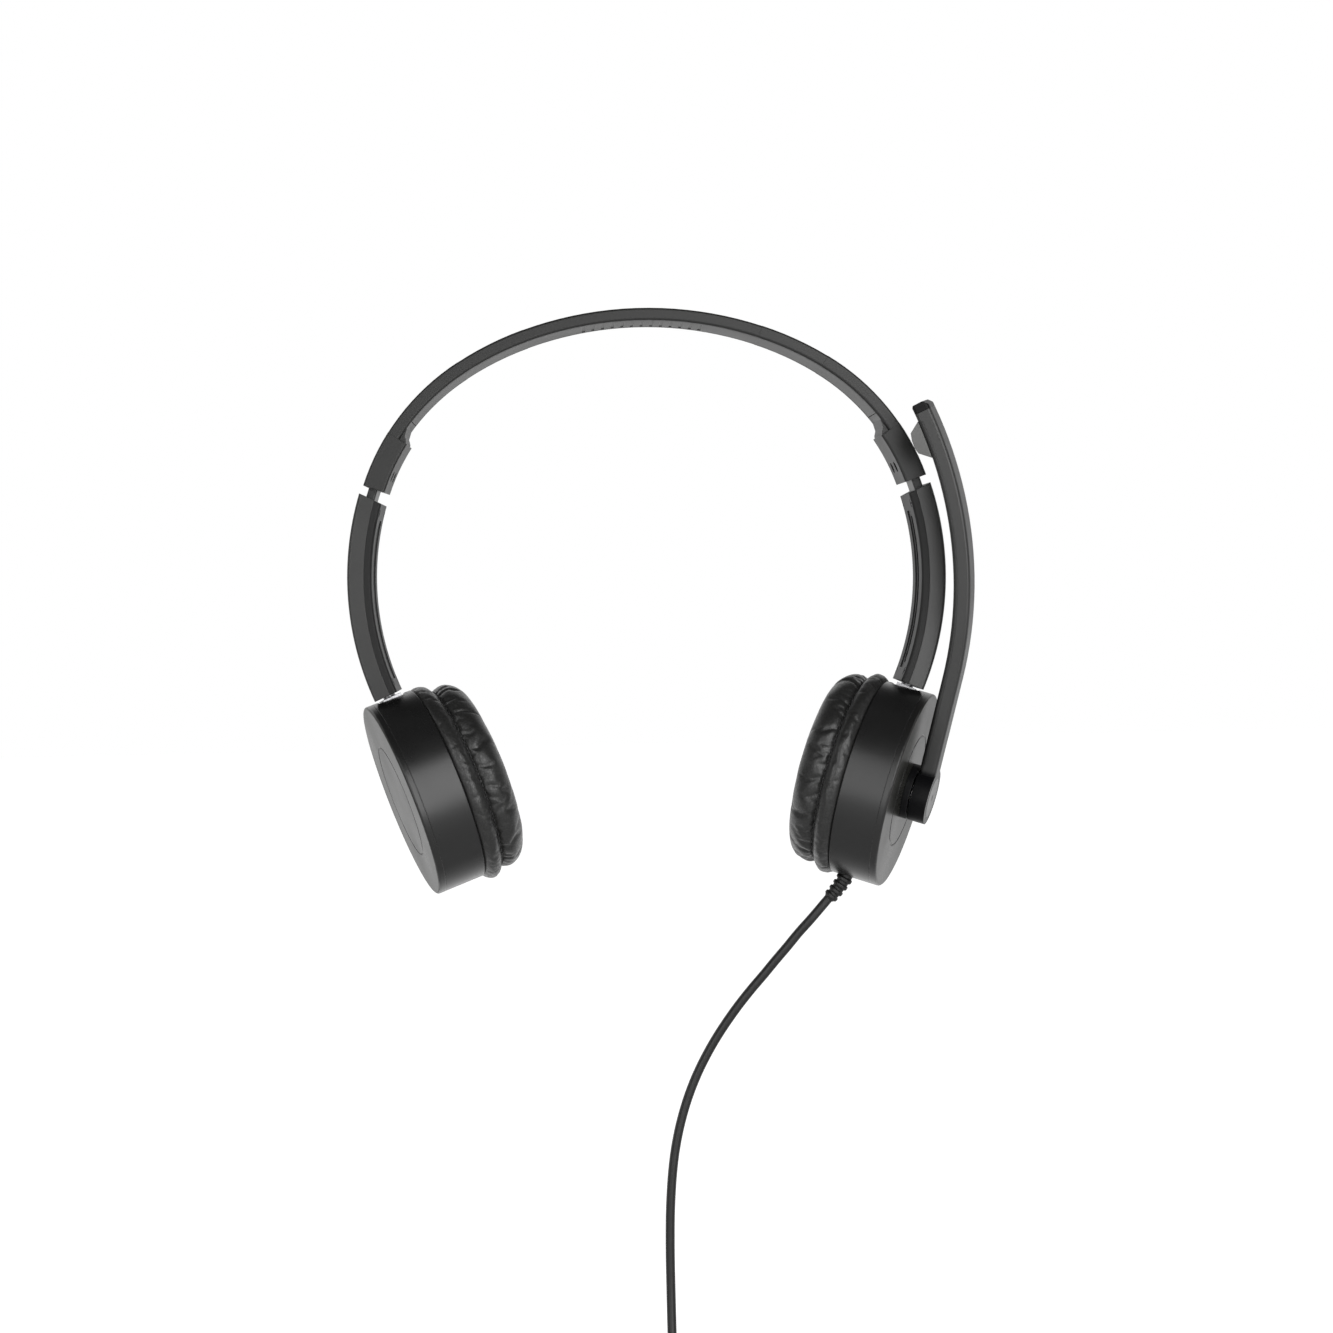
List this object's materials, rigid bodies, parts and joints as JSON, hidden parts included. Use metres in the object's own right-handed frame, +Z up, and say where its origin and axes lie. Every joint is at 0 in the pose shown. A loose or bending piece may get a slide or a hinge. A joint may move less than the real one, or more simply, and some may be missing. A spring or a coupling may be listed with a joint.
{
  "type": "on-ear headset",
  "caption": "Wired on-ear stereo headset: sliding headband arms, swivelling cushioned cups and a swing-up microphone boom, with a cord to a rectangular plug.",
  "frame": {"origin": "crown of the headband, on the band's inner face, at mid-depth", "axes": "+Z up, +X towards the cup with the microphone boom, -Y the way the wearer faces"},
  "size_m": [0.1907, 0.0657, 0.4699],
  "materials": {
    "band": "satin moulded, fine texture",
    "liner": "matt soft-touch",
    "spring_steel": "bright rolled",
    "rail": "satin",
    "black_steel": "black zinc",
    "arm": "satin moulded, fine texture",
    "arm_cover": "satin moulded, fine texture",
    "neck_metal": "plain cast",
    "housing": "satin",
    "cap": "fine matt",
    "baffle": "matt",
    "driver_plastic": "matt",
    "magnet": "plated",
    "cone": "clear film",
    "leatherette": "soft, fine grain, gathered at the seam",
    "scrim": "fine knit",
    "pin_steel": "ground",
    "strain_rubber": "ribbed, satin",
    "board": "solder mask",
    "hub": "satin",
    "boom": "satin",
    "boom_back": "satin",
    "boom_cap": "satin",
    "boom_tip": "satin black",
    "pod": "fine matt",
    "capsule_metal": "plain",
    "grille": "matt",
    "cord": "smooth satin sheath",
    "tie": "satin",
    "plug_plastic": "fine matt",
    "plug_metal": "nickel plated"
  },
  "bodies": {
    "headband": {"headband_frame": "band", "headband_liner": "liner", "spring_band": "spring_steel", "slider_rail_l": "rail", "slider_rail_r": "rail", "band_screws": "black_steel"},
    "arm_l": {"arm_shell_l": "arm", "arm_cover_l": "arm_cover", "arm_detent_l": "spring_steel", "arm_screws_l": "black_steel"},
    "arm_r": {"arm_shell_r": "arm", "arm_cover_r": "arm_cover", "arm_detent_r": "spring_steel", "arm_screws_r": "black_steel"},
    "neck_l": {"pivot_neck_l": "neck_metal", "neck_clip_l": "spring_steel"},
    "neck_r": {"pivot_neck_r": "neck_metal", "neck_clip_r": "spring_steel"},
    "cup_l": {"cup_housing_l": "housing", "cup_cap_l": "cap", "cup_baffle_l": "baffle", "driver_frame_l": "driver_plastic", "driver_magnet_l": "magnet", "driver_cone_l": "cone", "ear_cushion_l": "leatherette", "ear_scrim_l": "scrim", "tilt_pin_l": "pin_steel", "cup_screws_l": "black_steel"},
    "cup_r": {"cup_housing_r": "housing", "cup_cap_r": "cap", "cup_baffle_r": "baffle", "driver_frame_r": "driver_plastic", "driver_magnet_r": "magnet", "driver_cone_r": "cone", "ear_cushion_r": "leatherette", "ear_scrim_r": "scrim", "tilt_pin_r": "pin_steel", "cup_screws_r": "black_steel", "strain_relief": "strain_rubber", "audio_board": "board", "hub_base": "hub", "hub_screw": "black_steel", "wave_washer": "spring_steel", "cord_tube": "cord", "cord_hank": "cord", "cord_tie": "tie", "plug_grip": "plug_plastic", "plug_shell": "plug_metal"},
    "boom": {"boom_arm": "boom", "boom_back": "boom_back", "boom_cap": "boom_cap", "boom_tip": "boom_tip", "mic_pod": "pod", "mic_capsule": "capsule_metal", "mic_grille": "grille"}
  },
  "joints": [
    {"name": "arm_slide_l", "type": "hinge", "parent": "headband", "child": "arm_l", "pos_m": [-0.0012, 0, -0.0785], "axis": [0, -1, 0], "range_deg": [-1.5, 22]},
    {"name": "arm_slide_r", "type": "hinge", "parent": "headband", "child": "arm_r", "pos_m": [0.0012, 0, -0.0785], "axis": [0, 1, 0], "range_deg": [-1.5, 22]},
    {"name": "cup_swivel_l", "type": "hinge", "parent": "arm_l", "child": "neck_l", "pos_m": [-0.0804, 0, -0.11376], "axis": [-0.4067, 0, 0.9135], "range_deg": [-28, 12]},
    {"name": "cup_swivel_r", "type": "hinge", "parent": "arm_r", "child": "neck_r", "pos_m": [0.0804, 0, -0.11376], "axis": [-0.4067, 0, -0.9135], "range_deg": [-33, 7]},
    {"name": "cup_tilt_l", "type": "hinge", "parent": "neck_l", "child": "cup_l", "pos_m": [-0.07707, 0, -0.12126], "axis": [-0.2055, 0.9744, -0.0915], "range_deg": [-8, 6]},
    {"name": "cup_tilt_r", "type": "hinge", "parent": "neck_r", "child": "cup_r", "pos_m": [0.07759, -0.00018, -0.12149], "axis": [-0.2823, -0.9511, 0.1257], "range_deg": [-10.5, 4]},
    {"name": "boom_swing", "type": "hinge", "parent": "cup_r", "child": "boom", "pos_m": [0.07927, -0.00396, -0.14627], "axis": [0.9093, -0.307, -0.2809], "range_deg": [0, 125]}
  ]
}
